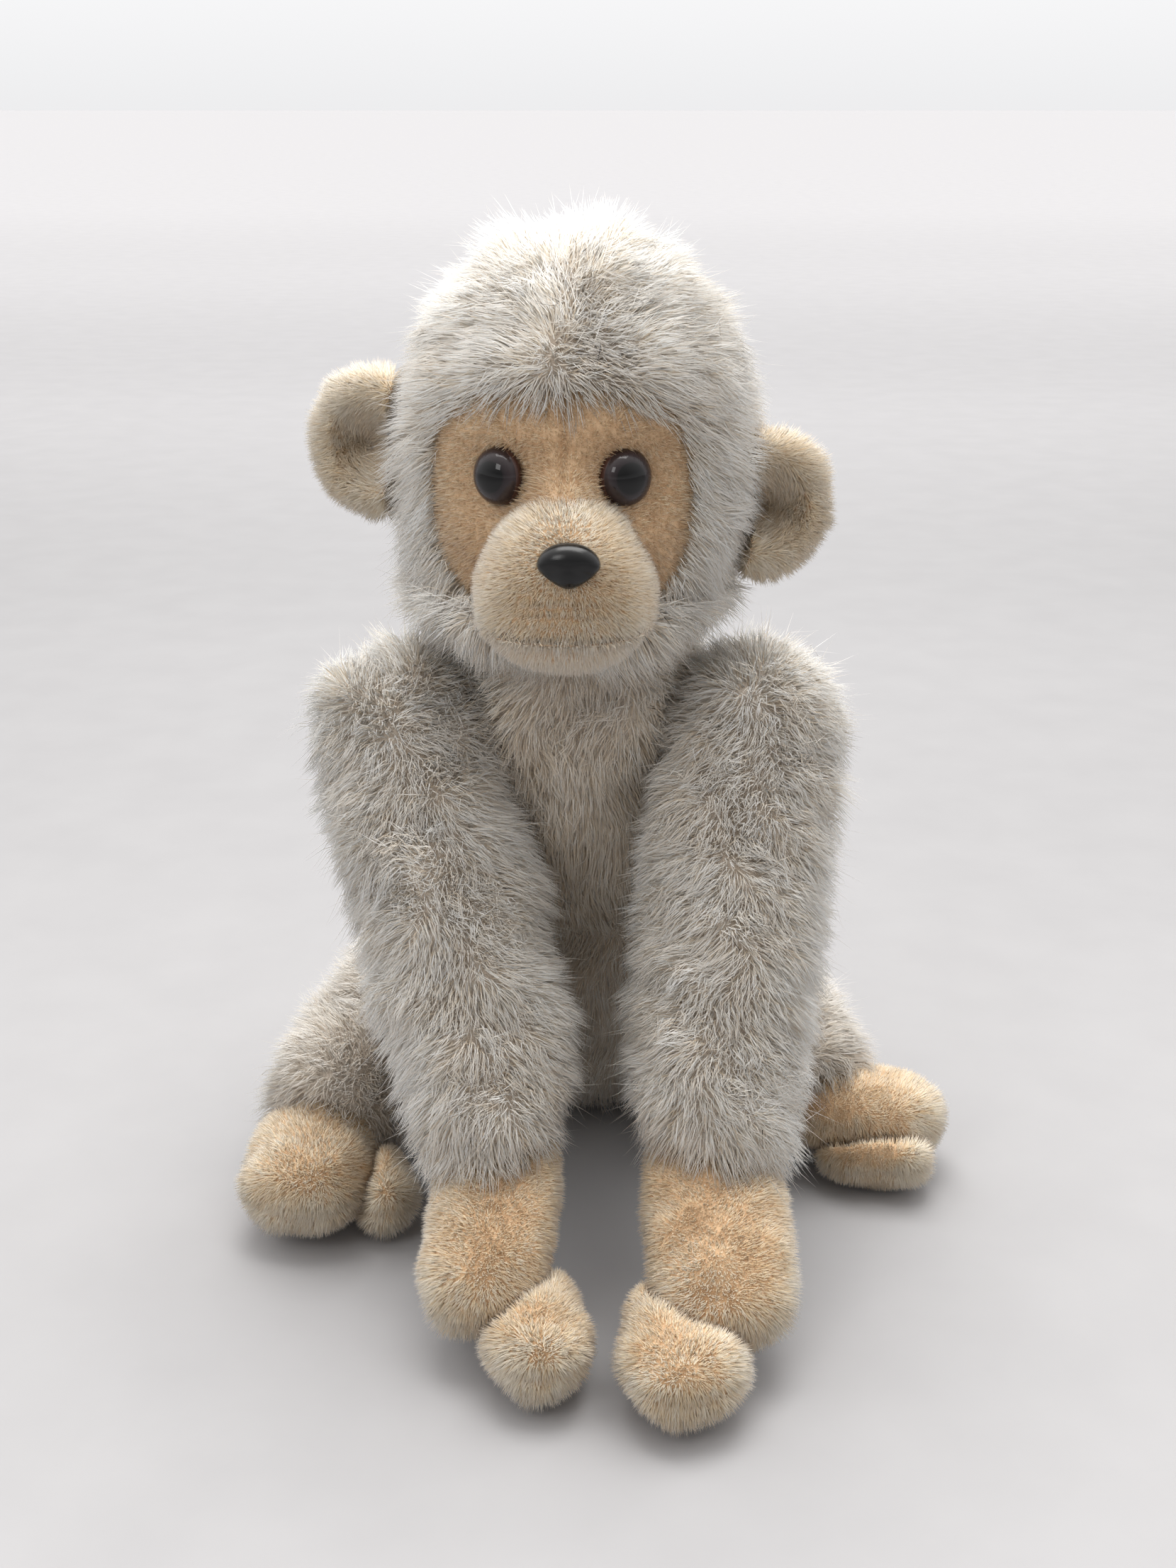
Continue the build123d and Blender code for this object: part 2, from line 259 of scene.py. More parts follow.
def push(obj, amount):
    """Moves each point along its normal."""
    set_coordinates(obj, coordinates(obj) + normals_of(obj) * np.reshape(amount, (-1, 1)))


def turned(points):
    """Points of the head, turned with it about the neck."""
    return (points - head_axis) @ head_spin.T + head_axis


def unturned(points):
    """Points of the head as they would be if it looked straight ahead."""
    return (points - head_axis) @ head_spin + head_axis


# ---------------------------------------------------------------- materials

def principled(name, roughness, **sockets):
    """A material with one Principled shader and the values given for its sockets."""
    material = bpy.data.materials.new(name)
    material.use_nodes = True
    shader = material.node_tree.nodes["Principled BSDF"]
    shader.inputs["Roughness"].default_value = roughness
    for socket, value in sockets.items():
        shader.inputs[socket.replace("_", " ")].default_value = value
    return material, shader


def linear(r, g, b):
    """A colour from its everyday 0-255 values."""
    return tuple((c / 255) ** 2.2 for c in (r, g, b)) + (1.0,)


def tone(name, colour):
    """The finish of one shade of fibre, which lets some light through."""
    material, shader = principled(name, 0.6, Sheen_Weight=0.2, Sheen_Roughness=0.5,
                                  Specular_IOR_Level=0.25, Subsurface_Weight=0.7,
                                  Subsurface_Radius=(1.0, 1.0, 1.0), Subsurface_Scale=0.45 * MM)
    shader.inputs["Base Color"].default_value = linear(*colour)
    return material


def feed(tree, node, inputs):
    """Gives each named input its value, or links it where the value is another node's output."""
    for name, value in inputs.items():
        if isinstance(value, bpy.types.NodeSocket):
            tree.links.new(value, node.inputs[name])
        else:
            node.inputs[name].default_value = value


def add_node(tree, kind, inputs=None, **settings):
    """A new shader node with its settings and inputs."""
    node = tree.nodes.new("ShaderNode" + kind)
    for name, value in settings.items():
        setattr(node, name, value)
    feed(tree, node, inputs or {})
    return node


def add_ramp(tree, source, stops, interpolation="LINEAR"):
    """The colour that a ramp gives to a value; stops are places and colours."""
    node = add_node(tree, "ValToRGB", {"Fac": source})
    ramp = node.color_ramp
    ramp.interpolation = interpolation
    for element, (place, colour) in zip(ramp.elements, (stops[0], stops[-1])):
        element.position = place
        element.color = colour
    for place, colour in stops[1:-1]:
        ramp.elements.new(place).color = colour
    return node.outputs["Color"]


def mottled(name, dark, light, scale, roughness, bump, **sockets):
    """A finish that wanders between two colours, with a fine relief."""
    material, shader = principled(name, roughness, **sockets)
    tree = material.node_tree
    where = add_node(tree, "TexCoord").outputs["Object"]
    noise = add_node(tree, "TexNoise", {"Scale": scale, "Detail": 4.0, "Vector": where})
    colour = add_ramp(tree, noise.outputs["Fac"], ((0.32, linear(*dark)), (0.68, linear(*light))))
    grain = add_node(tree, "TexNoise", {"Scale": scale * 6, "Detail": 2.0, "Vector": where})
    relief = add_node(tree, "Bump", {"Strength": bump, "Distance": 0.4 * MM, "Height": grain.outputs["Fac"]})
    feed(tree, shader, {"Base Color": colour, "Normal": relief.outputs["Normal"]})
    return material


def tones(name, *colours):
    """The four finishes of one pile, from its shade to its palest tips."""
    return [tone(f"{name}_{part}", colour) for part, colour in zip(("shade", "mid", "light", "tip"), colours)]


LONG_TONES = tones("pile", (222, 198, 170), (239, 221, 198), (249, 238, 221), (254, 250, 240))
# The legs wear the same fur as the arms; these darker tones are painted shade.
SHADED_LEG_TONES = tones("leg_fur", (178, 158, 136), (194, 178, 158), (208, 195, 178), (222, 212, 198))
SHORT_TONES = tones("plush", (196, 152, 107), (214, 174, 130), (230, 196, 155), (244, 219, 184))
# The face wears the same plush as the muzzle; these darker tones are painted shade from the brow and the
# muzzle.
SHADED_FACE_TONES = tones("face", (150, 112, 76), (170, 132, 93), (192, 154, 113), (216, 183, 143))
CHIN_TONES = tones("chin", (220, 184, 146), (233, 202, 167), (242, 217, 187), (250, 234, 210))
long_backing = mottled("long_backing", (196, 182, 166), (222, 210, 196), 320, 0.9, 0.8)
short_backing = mottled("short_backing", (190, 154, 118), (220, 187, 150), 420, 0.9, 0.8)
chin_backing = mottled("chin_backing_finish", (200, 166, 130), (226, 195, 161), 420, 0.9, 0.8)
filling = mottled("filling", (214, 214, 210), (240, 240, 238), 260, 0.95, 0.6)
washer_plastic = mottled("washer_plastic", (206, 206, 202), (226, 226, 222), 500, 0.4, 0.1)


# ---------------------------------------------------------------- pile

def scatter(core, count, seed):
    """Even random places on a skin, with the skin's normals there."""
    mesh = core.data
    mesh.calc_loop_triangles()
    corners = np.empty(len(mesh.loop_triangles) * 3, int)
    mesh.loop_triangles.foreach_get("vertices", corners)
    corners = corners.reshape(-1, 3)
    points, normals = coordinates(core), normals_of(core)
    a, b, c = (points[corners[:, i]] for i in range(3))
    area = np.linalg.norm(np.cross(b - a, c - a), axis=1)
    reach = np.cumsum(area)
    rng = np.random.default_rng(seed)
    steps = (np.arange(count) + rng.uniform(0, 1, count)) / count * reach[-1]
    pick = np.minimum(np.searchsorted(reach, steps), len(area) - 1)
    u, v = rng.uniform(0, 1, (2, count))
    over = u + v > 1
    u[over], v[over] = 1 - u[over], 1 - v[over]
    shares = np.stack([1 - u - v, u, v], axis=1)[:, :, None]
    where = (points[corners[pick]] * shares).sum(axis=1)
    return where, unit((normals[corners[pick]] * shares).sum(axis=1))


def prism_mesh(name, rings, tips, levels_of_tone, materials, soft_normals, soft):
    """Many tapered three-sided fibres in one mesh: rings of three points, then a tip."""
    count, levels = rings.shape[:2]
    points = np.concatenate([rings.reshape(count, levels * 3, 3), tips[:, None]], axis=1)
    per = levels * 3 + 1
    quads = []
    for level in range(levels - 1):
        for k in range(3):
            a, b = level * 3 + k, level * 3 + (k + 1) % 3
            quads.append((a, b, b + 3, a + 3))
    top = (levels - 1) * 3
    triangles = [(top + k, top + (k + 1) % 3, per - 1) for k in range(3)] + [(2, 1, 0)]
    pattern = [i for face in quads + triangles for i in face]
    sizes = [4] * len(quads) + [3] * len(triangles)
    faces = len(sizes)
    corners = (np.arange(count)[:, None] * per + np.array(pattern)).ravel()
    starts = np.concatenate([[0], np.cumsum(np.tile(sizes, count))[:-1]])
    mesh = bpy.data.meshes.new(name)
    mesh.vertices.add(count * per)
    mesh.vertices.foreach_set("co", points.ravel())
    mesh.loops.add(len(corners))
    mesh.loops.foreach_set("vertex_index", corners)
    mesh.polygons.add(count * faces)
    mesh.polygons.foreach_set("loop_start", starts)
    level_of = [0] * len(quads) + [1] * 3 + [0]
    shade = levels_of_tone[:, level_of] if levels > 1 else np.repeat(levels_of_tone[:, 1:2], faces, axis=1)
    mesh.polygons.foreach_set("material_index", shade.ravel())
    mesh.update(calc_edges=True)
    mesh.polygons.foreach_set("use_smooth", [True] * (count * faces))
    for material in materials:
        mesh.materials.append(material)
    middle = points[:, :-1].mean(axis=1, keepdims=True)
    round_normals = unit(points - middle)
    round_normals[:, -1] = soft_normals
    blended = unit(soft_normals[:, None] * soft + round_normals)
    mesh.normals_split_custom_set_from_vertices(blended.reshape(-1, 3))
    obj = bpy.data.objects.new(name, mesh)
    bpy.context.scene.collection.objects.link(obj)
    return obj


def clumps(core, roots, size, rng):
    """The fibres that lead the clumps, and the number of the clump that each fibre is in."""
    area = sum(polygon.area for polygon in core.data.polygons)
    leaders = rng.choice(len(roots), max(1, int(min(len(roots), area / size ** 2))), replace=False)
    tree = KDTree(len(leaders))
    for index, leader in enumerate(leaders):
        tree.insert(roots[leader], index)
    tree.balance()
    return leaders, np.array([tree.find(root)[1] for root in roots])


def grow(name, core, body, slot, count, seed, comb, materials, length, width, lean, spread,
         clump, clump_size, soft, mixed, two_part, keep=None, stretch=None, pale=None):
    """Covers a skin with fibres that lean along comb, and gather in small clumps."""
    rng = np.random.default_rng(seed)
    roots, normals = scatter(core, count, seed)
    if keep is not None:
        kept = keep(roots, normals)
        roots, normals = roots[kept], normals[kept]
    count = len(roots)

    # each fibre runs from its root through its middle to its tip
    along = comb(roots, normals)
    along = along - normals * (along * normals).sum(axis=1, keepdims=True)
    along = unit(along + spread * rng.normal(size=(count, 3)))
    reach = length * (1 + 0.16 * ripple(roots, 16 * MM, seed)) * rng.uniform(0.72, 1.15, count)
    if stretch is not None:
        reach = reach * stretch(roots, normals)
    reach = reach[:, None]
    lean = (lean * (1 + 0.25 * ripple(roots, 11 * MM, seed + 5)))[:, None]
    first = unit(normals + along * lean * 0.6 + 0.10 * rng.normal(size=(count, 3)))
    second = unit(normals * (1 - 0.45 * np.clip(lean, 0, 1)) + along * lean * 1.5
                  + 0.12 * rng.normal(size=(count, 3)))
    roots = roots - normals * 0.6 * MM
    middle = roots + first * reach * 0.5
    tips = middle + second * reach * 0.5
    leaders, clump_of = clumps(core, roots, clump_size, rng)
    leader = leaders[clump_of]
    pull = (clump * rng.uniform(0.5, 1.2, count))[:, None]
    tips = tips + (tips[leader] - tips) * pull
    middle = middle + (middle[leader] - middle) * pull * 0.4

    # its lower and upper tones
    shade = ripple(roots, 22 * MM, seed + 9) * 0.5 + rng.normal(size=count) * mixed
    if pale is not None:
        shade += pale(roots, normals)
    shade += rng.normal(size=len(leaders))[clump_of] * 0.35
    low = np.clip(np.round(0.9 + shade * 0.6), 0, 3)
    high = np.clip(np.round(2.0 + shade * 0.7), 0, 3)
    levels_of_tone = np.stack([low, high], axis=1).astype(int)

    # its rings of three points
    thick = width * rng.uniform(0.7, 1.2, count)[:, None]
    side = unit(np.cross(first, along + 1e-6))
    over = unit(np.cross(first, side))
    rings = []
    levels = ((roots, 1.0), (middle, 0.8)) if two_part else ((roots, 1.0),)
    for centre, share in levels:
        for angle in full_turn(3):
            rings.append(centre + (side * math.cos(angle) + over * math.sin(angle)) * thick * share / 2)
    rings = np.stack(rings, axis=1).reshape(count, len(levels), 3, 3)
    rings[..., 2] = np.maximum(rings[..., 2], FLOOR_GAP)
    tips[:, 2] = np.maximum(tips[:, 2], FLOOR_GAP)

    pieces = max(1, math.ceil(count / (STRANDS_IN_PIECE if two_part else 2.4 * STRANDS_IN_PIECE)))
    for part in range(pieces):
        chosen = slice(part * count // pieces, (part + 1) * count // pieces)
        suffix = f"_{part + 1}" if pieces > 1 else ""
        piece = prism_mesh(name + suffix, rings[chosen], tips[chosen], levels_of_tone[chosen], materials,
                           normals[chosen], soft)
        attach(piece, body)


def dress(core, body, material, nodes):
    """Gives a padded skin its finish, keeps it off the floor, and hides the CAD nodes that it stands for."""
    points = coordinates(core)
    points[:, 2] = np.maximum(points[:, 2], FLOOR_GAP)
    set_coordinates(core, points)
    core.data.materials.clear()
    core.data.materials.append(material)
    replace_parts(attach(core, body), *nodes)


def long_pile(name, core, body, count, comb, seed, **options):
    """The toy's long fur: curved fibres, a shorter and denser undercoat, and a few strays."""
    top = {"length": 11 * MM, "width": 0.32 * MM, "lean": 0.5, "spread": 0.35, "clump": 0.5,
           "clump_size": 3.6 * MM, "soft": 2.2, "mixed": 0.75, "two_part": True,
           "materials": LONG_TONES, "comb": comb, **options}
    under = {**top, "length": 8.5 * MM, "width": 0.45 * MM, "clump": 0.25, "two_part": False}
    stray = {**top, "length": 14 * MM, "width": 0.2 * MM, "clump": 0.0, "spread": 0.9}
    grow(name, core, body, "long_fur", count, seed, **top)
    grow(name + "_under", core, body, "long_fur", int(count * UNDER_SHARE), seed + 300, **under)
    grow(name + "_stray", core, body, "long_fur", int(count * STRAY_SHARE), seed + 600, **stray)


def short_pile(name, core, body, count, seed, slot="short_plush", **options):
    """The toy's dense tan plush."""
    settings = {"length": 3.0 * MM, "width": 0.4 * MM, "lean": 0.2, "spread": 0.5, "clump": 0.2,
                "clump_size": 2.2 * MM, "soft": 5.0, "mixed": 0.45, "two_part": False,
                "materials": SHORT_TONES, "comb": downwards, **options}
    grow(name, core, body, slot, count, seed, **settings)


def downwards(points, normals):
    """Pile that hangs down."""
    return np.tile((0.0, -0.2, -1.0), (len(points), 1))


# ---------------------------------------------------------------- head

def head_radius(height, sink):
    """The head's outline: its radius at a height, drawn in by sink."""
    above = height - HEAD_WIDEST
    rise = HEAD_TOP - HEAD_WIDEST - sink
    dome = np.sqrt(np.clip(1 - (above / rise) ** 2, 0, 1)) * (HEAD_RADIUS - sink)
    drop = HEAD_WIDEST - HEAD_BOTTOM
    heights, radii = zip(*HEAD_CHEEKS)
    level = HEAD_WIDEST + above * drop / (drop - sink)
    jowl = smooth_curve(np.array(heights) * MM, np.array(radii) * MM, level)
    return np.where(above > 0, dome, jowl * (HEAD_RADIUS - sink) / HEAD_RADIUS)


def window_norm(across, upward):
    """How far a place lies from the face's centre: boxy over the eyes, round beside the muzzle."""
    power = np.where(upward > 0, 3.4, 2.0)
    return (np.abs(across) ** power + np.abs(upward) ** power) ** (1 / power)


def window_reach(points):
    """How far points of the unturned head lie from the face's centre, 1 at the face's edge."""
    upward = points[:, 2] - FACE_Z
    upward = upward / np.where(upward > 0, BROW_RISE, FACE_HALF_HEIGHT)
    reach = window_norm((points[:, 0] - FACE_X) / FACE_HALF_WIDTH, upward)
    return np.where(points[:, 1] < head_axis[1], reach, 3.0)


def hood_core():
    """The hood's backing: the whole dome, sunk in where the face is set."""
    angles = full_turn(AROUND)
    turns = np.linspace(0, math.pi, 62)[1:-1]
    middle = (HEAD_TOP + HEAD_BOTTOM) / 2
    half = (HEAD_TOP - HEAD_BOTTOM) / 2 - LONG_SINK
    rings = []
    for turn in turns:
        height = middle - half * math.cos(turn)
        radius = head_radius(np.array([height]), LONG_SINK)[0]
        rings.append([(radius * math.cos(a), head_axis[1] + radius * math.sin(a), height) for a in angles])
    core = closed_rings("hood_backing", rings)
    relax(core, 3)
    points = coordinates(core)
    reach = window_reach(points)
    push(core, -7 * MM * np.clip((1.12 - reach) / 0.25, 0, 1))
    points = coordinates(core)
    push(core, 1.1 * MM * ripple(points, 17 * MM, 3) * np.clip((reach - 1) / 0.3, 0, 1))
    points = coordinates(core)
    narrow = np.clip((200 * MM - points[:, 2]) / (28 * MM), 0, 1) * (points[:, 0] > 0)
    points[:, 0] *= 1 - 0.13 * narrow
    set_coordinates(core, turned(points))
    return core


def hood_comb(points, normals):
    """Fur that parts at a whorl on the brow and falls all round the head."""
    away = points - WHORL
    near = hump(np.linalg.norm(away, axis=1), 30 * MM)[:, None]
    down = np.array((0.0, 0.25, -1.0))
    cheek = hump(points[:, 2:] - 172 * MM, 20 * MM) * np.array((0.0, -0.12, -0.3))
    outward = np.sign(points[:, :1]) * np.array((0.35, 0.0, 0.0))
    over = hump(points[:, 2:] - HEAD_TOP, 30 * MM) * (points - head_axis) * np.array((1, 1, 0)) / (20 * MM)
    fall = (down + cheek + outward) * (1 - near)
    return unit(away) * (near * 1.2 + 0.1) + fall + over + 0.5 * wander(points, 26 * MM, 71)


def hood_keep(points, normals):
    """Fur grows everywhere but in the face."""
    return window_reach(unturned(points)) > 1.0


def hood_stretch(points, normals):
    """Fur is longer on the cheeks and over the brow."""
    straight = unturned(points)
    edge = hump(window_reach(straight) - 1.08, 0.3)
    cheek = edge * np.clip((190 * MM - straight[:, 2]) / (20 * MM), 0, 1)
    behind = straight[:, 1] > head_axis[1] - 12 * MM
    under = np.clip((straight[:, 2] - 156 * MM) / (16 * MM), 0.35, 1)
    return (1 + 0.05 * edge + 0.3 * cheek) * np.where(behind, under, 1)


def face_core():
    """The face: a shallow mask with sunken eye sockets and a seam down its middle."""
    angles = full_turn(AROUND)
    reaches = np.linspace(0.03, 1.14, 40)
    eye_x, eye_z = 15.25 * MM, 206.5 * MM
    sink = 5.5 * MM
    front, back = [], []
    norm = window_norm(np.cos(angles), np.sin(angles))
    rise = np.where(np.sin(angles) > 0, BROW_RISE, FACE_HALF_HEIGHT)
    for reach in reaches:
        x = FACE_X + reach * FACE_HALF_WIDTH * np.cos(angles) / norm
        z = FACE_Z + reach * rise * np.sin(angles) / norm
        surface = head_axis[1] - np.sqrt(np.maximum(head_radius(z, sink) ** 2 - x ** 2, 1e-6))
        for side in (-1, 1):
            spot = np.hypot((x - side * eye_x) / 1.1, z - eye_z)
            surface += 3.6 * MM * hump(spot, 9 * MM)
            surface -= 1.4 * MM * hump(np.hypot(x - side * 21 * MM, z - 192 * MM), 8 * MM)
        down = np.clip(224 * MM - z, 0, 32 * MM)
        wide = 7 * MM + 3 * MM * np.clip((212 * MM - z) / (16 * MM), 0, 1)
        surface -= 18 * down ** 2 * hump(x, wide) * np.clip((z - 184 * MM) / (8 * MM), 0, 1)
        surface -= 1.2 * MM * hump(z - 219 * MM, 5 * MM)
        surface += 0.9 * MM * hump(x, 1.1 * MM) * (z > 190 * MM)
        surface += 3.5 * MM * np.clip((reach - 0.94) / 0.2, 0, 1) ** 2
        front.append(np.stack([x, surface, z], axis=1))
        back.append(np.stack([x * 0.97, np.maximum(surface + 4 * MM, -94 * MM),
                              FACE_Z + (z - FACE_Z) * 0.97], axis=1))
    core = closed_rings("face_backing", front + back[::-1])
    set_coordinates(core, turned(coordinates(core)))
    return core


def muzzle_cores():
    """The muzzle's bulge and the chin under it, parted by a seam."""
    radius = MUZZLE_RADIUS - SHORT_SINK
    angles = full_turn(AROUND)
    turns = np.linspace(0, math.pi, 80)[1:-1]
    ball = np.array([np.stack([math.sin(turn) * np.cos(angles), np.full(AROUND, -math.cos(turn)),
                               math.sin(turn) * np.sin(angles)], axis=1) for turn in turns])
    boxy = ball / (np.abs(ball) ** MUZZLE_POWER).sum(axis=2, keepdims=True) ** (1 / MUZZLE_POWER)
    cores = []
    for name, low, high in (("muzzle_backing", CHIN_SEAM_Z - 0.6 * MM, 1.0),
                            ("chin_backing", 0.0, CHIN_SEAM_Z + 0.6 * MM)):
        x, y, z = np.moveaxis(boxy * radius + MUZZLE_CENTRE, 2, 0)
        upward = (z - MUZZLE_CENTRE[2]) / radius
        ahead = np.clip((MUZZLE_CENTRE[1] - y) / radius, 0, 1)
        x = x * (0.9 - 0.22 * np.clip(upward, 0, 1) ** 1.5 + 0.05 * hump(upward + 0.35, 0.4))
        z = np.where(upward < 0, MUZZLE_CENTRE[2] + (z - MUZZLE_CENTRE[2]) * 0.88, z)
        y = y - 2.2 * MM * hump(x, 6 * MM) * np.clip(upward, 0, 1) * ahead
        for height, depth in ((182.2, 0.6), (179.6, 0.7), (177.0, 0.5)):
            sag = 4 * MM * (x / radius) ** 2
            y = y + depth * MM * hump(z - height * MM + sag, 0.9 * MM) * ahead * hump(x, 15 * MM)
        y = y + 1.0 * MM * hump(z - CHIN_SEAM_Z, 1.2 * MM) * ahead
        z = np.clip(z, low + 0.02 * (z - low), high + 0.02 * (z - high))
        core = closed_rings(name, np.stack([x, y, z], axis=2))
        set_coordinates(core, turned(coordinates(core)))
        cores.append(core)
    return cores


def ear_core(side):
    """One cupped ear."""
    core = remeshed(f"ear_backing_{side}", (f"ear_front_{side}", f"ear_back_{side}"), 1.8 * MM)
    relax(core, 2)
    push(core, -1.2 * MM)
    subdivide(core)
    points = coordinates(core)
    low, high = points.min(axis=0), points.max(axis=0)
    near_head = low if side == "left" else high
    cup = (low + high) / 2
    cup[0] = near_head[0] + (cup[0] - near_head[0]) * 0.5
    reach = np.hypot((points[:, 0] - cup[0]) / 0.9, points[:, 2] - cup[2])
    front = np.clip(-normals_of(core)[:, 1] * 1.5, 0, 1)
    points[:, 1] += 4.6 * MM * hump(reach, 6.0 * MM) * front
    points[:, 1] -= 1.8 * MM * hump(reach - 14.5 * MM, 5 * MM) * front
    if side == "left":
        points += LEFT_EAR_SHIFT
    set_coordinates(core, points)
    return core


def lathe(name, profile, place, direction, around=64):
    """A turned form: profile is radius and height along direction."""
    axis = Vector(direction).to_track_quat("Z", "Y").to_matrix()
    rings = []
    for radius, height in profile:
        ring = []
        for k in range(around):
            angle = 2 * math.pi * k / around
            spot = axis @ Vector((radius * math.cos(angle), radius * math.sin(angle), height))
            ring.append(np.array(spot) + place)
        rings.append(ring)
    return closed_rings(name, rings)


def ringed_eye(name, place, direction):
    """Dark glass with a black pupil and a dark grey-brown iris."""
    material, shader = principled(name, 0.05, Specular_IOR_Level=0.36)
    tree = material.node_tree
    where = add_node(tree, "TexCoord").outputs["Object"]
    shift = add_node(tree, "VectorMath", {0: where, 1: place}, operation="SUBTRACT").outputs["Vector"]
    cross = add_node(tree, "VectorMath", {0: shift, 1: direction}, operation="CROSS_PRODUCT")
    reach = add_node(tree, "VectorMath", {0: cross.outputs["Vector"]}, operation="LENGTH").outputs["Value"]
    share = add_node(tree, "Math", {0: reach, 1: 1 / (7 * MM)}, operation="MULTIPLY").outputs["Value"]
    stops = ((0.0, (5, 5, 6)), (0.50, (6, 6, 7)), (0.56, (34, 28, 30)), (0.78, (52, 44, 46)),
             (0.95, (40, 30, 30)))
    colour = add_ramp(tree, share, [(spot, linear(*shade)) for spot, shade in stops])
    feed(tree, shader, {"Base Color": colour})
    return material


def eye_seat(side):
    """Where an eye's rim is centred, and the way the rim faces."""
    low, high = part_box(f"eye_{side}")
    place = np.array(((low.x + high.x) / 2, low.y + EYE_RIM_DEPTH, (low.z + high.z) / 2)) + EYE_SHIFT
    outward = 1 if side == "left" else -1
    return place, unit(turned(head_axis + (0.95 * outward, -1.0, 0.05)) - head_axis)


def face_keep(points, normals):
    """Plush covers the front of the face, up to the eyes' rims."""
    kept = normals[:, 1] < 0.1
    for side in SIDES:
        place, direction = eye_seat(side)
        kept &= np.linalg.norm(np.cross(points - place, direction), axis=1) > EYE_RADIUS - 0.3 * MM
    return kept


def make_eye(side):
    """One glossy domed eye with a thin rolled rim, which looks a little outwards."""
    place, direction = eye_seat(side)
    outward = 1 if side == "left" else -1
    gaze = unit(turned(head_axis + (0.35 * outward, -1.0, 0.12)) - head_axis)
    lip = EYE_RADIUS + 0.2 * MM
    rim = [(2.0 * MM, -8 * MM), (2.0 * MM, -1.8 * MM), (EYE_RADIUS, -1.6 * MM), (lip, -0.9 * MM),
           (lip, -0.2 * MM), (EYE_RADIUS, 0.25 * MM)]
    dome = [(EYE_RADIUS * math.cos(angle) * 0.985, 0.2 * MM + EYE_HEIGHT * math.sin(angle))
            for angle in np.linspace(0.10, 1.5, 18)]
    eye = lathe(f"glass_eye_{side}", rim + dome, place, direction)
    eye.data.materials.append(ringed_eye(f"eye_glass_{side}", place, gaze))
    eye.data.materials.append(principled(f"eye_rim_{side}", 0.3, Base_Color=linear(58, 34, 28))[0])
    for polygon in eye.data.polygons:
        height_of = np.dot(np.array(polygon.center) - place, direction)
        polygon.material_index = int(height_of < 0.3 * MM)
    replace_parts(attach(eye, "head"), f"eye_{side}")


def make_nose():
    """A glossy rounded triangle, broad above, with two shallow dents."""
    low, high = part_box("nose")
    centre = np.array(((low.x + high.x) / 2, NOSE_Y, (low.z + high.z) / 2)) + NOSE_SHIFT
    half_width, half_height = 7.3 * MM, 5.3 * MM
    angles = full_turn(AROUND_SMALL)
    outline_z = np.sin(angles) + 0.05
    outline_x = np.cos(angles) * (1 - 0.45 * np.clip(-outline_z, 0, 1) ** 1.2)
    rings = []
    for share, depth in ((0.2, 9.0), (0.55, 6.0), (0.9, 1.5), (1.0, 0.0), (1.02, -1.4), (0.97, -3.0),
                         (0.84, -4.4), (0.64, -5.3), (0.42, -5.8), (0.2, -6.0)):
        x = outline_x * half_width * share
        z = outline_z * half_height * share
        y = np.full(AROUND_SMALL, depth * MM * 0.9)
        if depth < -3:
            for side in (-1, 1):
                y = y + 1.0 * MM * hump(np.hypot(x - side * 3.6 * MM, z + 1.0 * MM), 1.8 * MM)
        rings.append(np.stack([x, y, z], axis=1))
    nose = closed_rings("moulded_nose", rings)
    subdivide(nose)
    set_coordinates(nose, coordinates(nose) @ head_spin.T + centre)
    material = mottled("nose_plastic", (5, 5, 6), (10, 10, 11), 900, 0.2, 0.08, Specular_IOR_Level=0.4)
    nose.data.materials.append(material)
    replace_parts(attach(nose, "head"), "nose")


def ear_comb(points, normals):
    """Plush that leans out towards the ear's rim."""
    side = np.sign(points[:, :1])
    return side * np.array((1.0, 0.0, 0.0)) + np.array((0.0, 0.0, -0.3))


def face_comb(points, normals):
    """Plush that spreads out from the middle of the face."""
    middle = turned(np.array(((0.0, -0.10, 0.203),)))[0]
    return unit(points - middle) + np.array((0.0, 0.0, -0.25))


def nose_tuft(points, normals):
    """Paler plush in a tuft above the nose and along the muzzle's lower edge."""
    tuft = hump(points[:, 0], 5 * MM) * hump(points[:, 2] - 200 * MM, 7 * MM)
    return 2.0 * tuft + 0.8 * hump(points[:, 2] - 174 * MM, 4 * MM)


def make_head():
    """The hood, face, muzzle, chin, ears, eyes and nose."""
    hood = hood_core()
    long_pile("hood_pile", hood, "head", 40000, hood_comb, 11, keep=hood_keep, stretch=hood_stretch)
    dress(hood, "head", long_backing, ("hood_left", "hood_right"))
    face = face_core()
    # The face's darker tones are painted shade under the brow and beside the muzzle.
    short_pile("face_pile", face, "head", 34000, 12, comb=face_comb, materials=SHADED_FACE_TONES,
               keep=face_keep, pale=nose_tuft)
    dress(face, "head", short_backing, ("face_left", "face_right"))
    muzzle, chin = muzzle_cores()
    short_pile("muzzle_pile", muzzle, "head", 38000, 13, comb=face_comb, length=3.2 * MM,
               keep=lambda points, normals: points[:, 1] < -86 * MM, pale=nose_tuft)
    dress(muzzle, "head", short_backing, ("muzzle",))
    short_pile("chin_pile", chin, "head", 12000, 14, slot="chin_plush", materials=CHIN_TONES,
               keep=lambda points, normals: points[:, 1] < -84 * MM)
    dress(chin, "head", chin_backing, ("chin",))
    for number, side in enumerate(SIDES):
        ear = ear_core(side)
        short_pile(f"ear_pile_{side}", ear, "head", 15000, 15 + number, comb=ear_comb, length=5.4 * MM,
                   width=0.38 * MM, lean=0.45, spread=0.6, pale=lambda points, normals: 0.6)
        dress(ear, "head", short_backing, (f"ear_front_{side}", f"ear_back_{side}"))
        make_eye(side)
    make_nose()


# ---------------------------------------------------------------- torso, arms and legs

